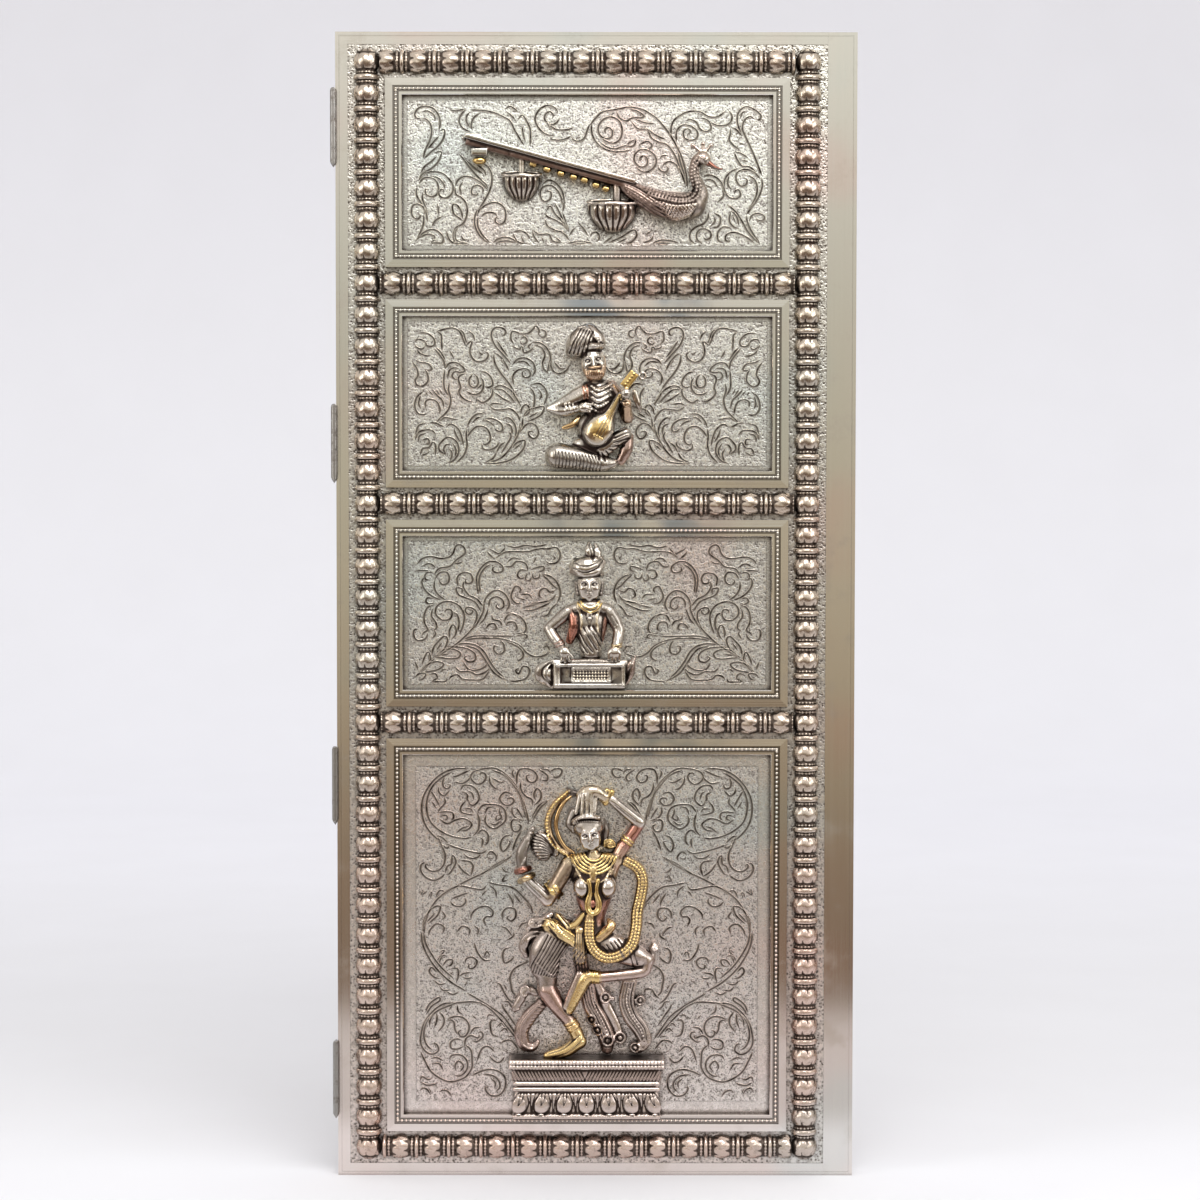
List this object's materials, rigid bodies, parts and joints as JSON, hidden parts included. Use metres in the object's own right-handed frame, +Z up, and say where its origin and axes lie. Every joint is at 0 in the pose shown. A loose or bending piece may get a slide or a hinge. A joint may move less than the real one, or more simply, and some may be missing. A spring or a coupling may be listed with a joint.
{
  "type": "carved temple door",
  "caption": "Carved temple door leaf clad in embossed white metal, with bead rails, scrollwork panels, cast musicians and a dancer, swinging on butt hinges.",
  "frame": {"origin": "middle of the leaf's bottom edge, at the plane of the stippled ground", "axes": "+Z up the leaf, -Y out of the carved face, +X towards the lock side"},
  "size_m": [0.9137, 0.0894, 2],
  "materials": {
    "white_metal": "embossed white metal with antique patina",
    "antique_metal": "antiqued white metal over half-round turnings",
    "cast_metal": "cast white metal, partly gilded",
    "timber": "oiled hardwood",
    "hinge_steel": "satin steel"
  },
  "bodies": {
    "jamb_side": {"jamb_flap_1": "hinge_steel", "jamb_flap_2": "hinge_steel", "jamb_flap_3": "hinge_steel", "jamb_flap_4": "hinge_steel", "hinge_pins": "hinge_steel"},
    "leaf": {"hinge_stile": "timber", "lock_stile": "timber", "top_rail": "timber", "upper_rail": "timber", "middle_rail": "timber", "lower_rail": "timber", "bottom_rail": "timber", "panel_board_1": "timber", "panel_board_2": "timber", "panel_board_3": "timber", "panel_board_4": "timber", "ground_sheet": "white_metal", "edge_strip_hinge": "white_metal", "edge_strip_lock": "white_metal", "edge_strip_top": "white_metal", "edge_strip_bottom": "white_metal", "bead_post_hinge": "antique_metal", "bead_post_lock": "antique_metal", "bead_rail_top": "antique_metal", "bead_rail_upper": "antique_metal", "bead_rail_middle": "antique_metal", "bead_rail_lower": "antique_metal", "bead_rail_bottom": "antique_metal", "moulding_1_bottom": "white_metal", "moulding_1_right": "white_metal", "moulding_1_top": "white_metal", "moulding_1_left": "white_metal", "moulding_2_bottom": "white_metal", "moulding_2_right": "white_metal", "moulding_2_top": "white_metal", "moulding_2_left": "white_metal", "moulding_3_bottom": "white_metal", "moulding_3_right": "white_metal", "moulding_3_top": "white_metal", "moulding_3_left": "white_metal", "moulding_4_bottom": "white_metal", "moulding_4_right": "white_metal", "moulding_4_top": "white_metal", "moulding_4_left": "white_metal", "panel_sheet_1": "white_metal", "panel_sheet_2": "white_metal", "panel_sheet_3": "white_metal", "panel_sheet_4": "white_metal", "veena": "cast_metal", "lute_player": "cast_metal", "zither_player": "cast_metal", "dancer": "cast_metal", "pedestal": "cast_metal", "door_flap_1": "hinge_steel", "door_flap_2": "hinge_steel", "door_flap_3": "hinge_steel", "door_flap_4": "hinge_steel", "hinge_screws": "hinge_steel"}
  },
  "joints": [
    {"name": "door_swing", "type": "hinge", "parent": "jamb_side", "child": "leaf", "pos_m": [-0.45575, -0.00612, 0], "axis": [0, 0, -1], "range_deg": [0, 120]}
  ]
}
